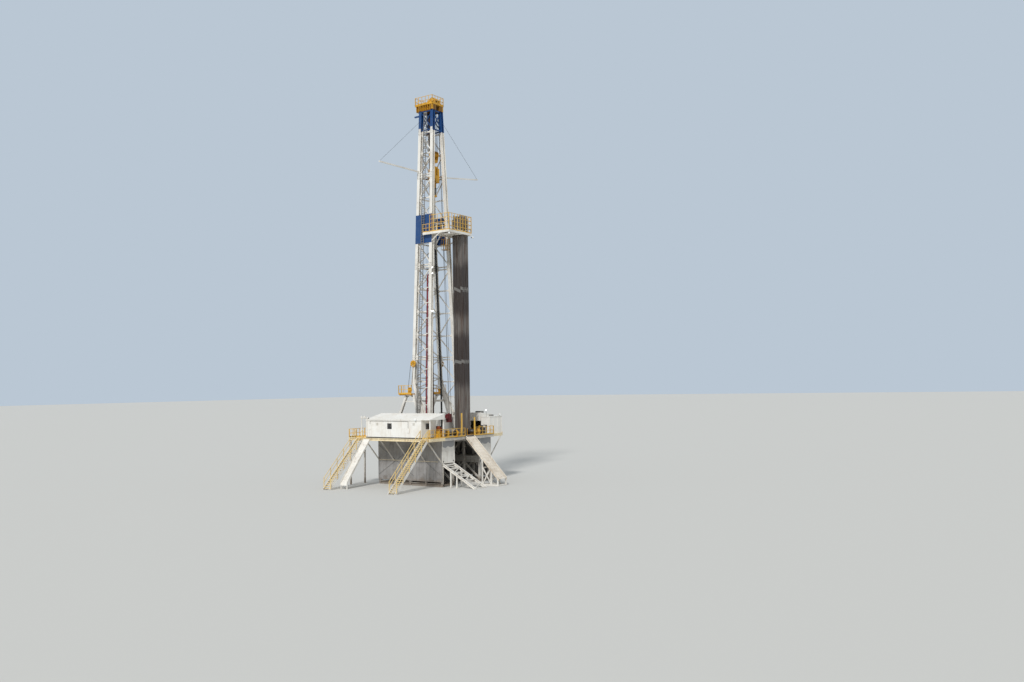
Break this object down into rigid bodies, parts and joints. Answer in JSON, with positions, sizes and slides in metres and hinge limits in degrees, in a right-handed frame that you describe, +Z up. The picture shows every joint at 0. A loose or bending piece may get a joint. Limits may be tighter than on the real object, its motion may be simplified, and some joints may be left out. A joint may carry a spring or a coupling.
{
  "type": "half-size model of a land drilling rig",
  "caption": "Half-size model of a land drilling rig: a tall open mast on a raised drill floor with a doghouse, racking board, pipe ramps, stairs and a hoisting block that runs.",
  "frame": {"origin": "centre of the bounding box at ground level", "axes": "+X from the well towards the pipe ramp, +Y away from the doghouse side, +Z up"},
  "size_m": [9.34, 11.3556, 25.55],
  "materials": {
    "white_paint": "worn, stained",
    "grey_steel": "matt, dusty",
    "blue_paint": "semi-gloss",
    "yellow_paint": "semi-gloss",
    "rail_paint": "semi-gloss",
    "red_paint": "semi-gloss",
    "brown_rail": "matt",
    "dark_wall": "matt, dusty",
    "orange_paint": "worn",
    "pipe_steel": "weathered",
    "line_steel": "greased",
    "window_glass": "clear"
  },
  "bodies": {
    "rig": {"base_box_near": "white_paint", "base_box_far": "white_paint", "upper_box_near": "white_paint", "upper_box_far": "white_paint", "near_platform": "white_paint", "far_platform": "white_paint", "platform_braces": "white_paint", "box_end_panels": "white_paint", "doghouse_walls": "white_paint", "doghouse_roof": "white_paint", "doghouse_door": "white_paint", "canopy": "white_paint", "far_house_walls": "white_paint", "far_house_roof": "white_paint", "vdoor_ramp": "white_paint", "ramp_support": "white_paint", "side_ramp_frame": "white_paint", "stair_stringers": "white_paint", "front_stair_treads": "white_paint", "rear_stair_treads": "white_paint", "vdoor_posts": "white_paint", "mast_near_lower": "white_paint", "mast_near_middle": "white_paint", "mast_near_upper": "white_paint", "mast_far_lower": "white_paint", "mast_far_middle": "white_paint", "mast_far_upper": "white_paint", "mast_back_lower": "white_paint", "mast_back_upper": "white_paint", "mast_side_panels": "white_paint", "racking_board": "white_paint", "booms": "white_paint", "raising_frame_near": "white_paint", "raising_frame_far": "white_paint", "raising_tie": "white_paint", "mast_ladder": "white_paint", "escape_slide": "white_paint", "spreader_beams": "grey_steel", "floor_beams": "grey_steel", "drill_floor": "grey_steel", "racking_fingers": "grey_steel", "boom_stays": "grey_steel", "crown_section": "blue_paint", "crown_platform": "yellow_paint", "crown_block": "yellow_paint", "sheave_platforms": "yellow_paint", "leg_sheaves": "yellow_paint", "rotary_table": "yellow_paint", "stair_rails": "rail_paint", "floor_rails": "rail_paint", "upper_rails": "rail_paint", "standpipe": "red_paint", "guide_rail": "brown_rail", "wind_walls": "dark_wall", "floor_wrench": "orange_paint", "pipe_stands": "pipe_steel", "drilling_lines": "line_steel", "doghouse_glass": "window_glass"},
    "hoist": {"travelling_block": "yellow_paint", "top_drive": "brown_rail"}
  },
  "joints": [
    {"name": "hoist_slide", "type": "slide", "parent": "rig", "child": "hoist", "axis": [0, 0, 1], "range_m": [-15, 0.4], "deforming": ["drilling_lines"]}
  ]
}
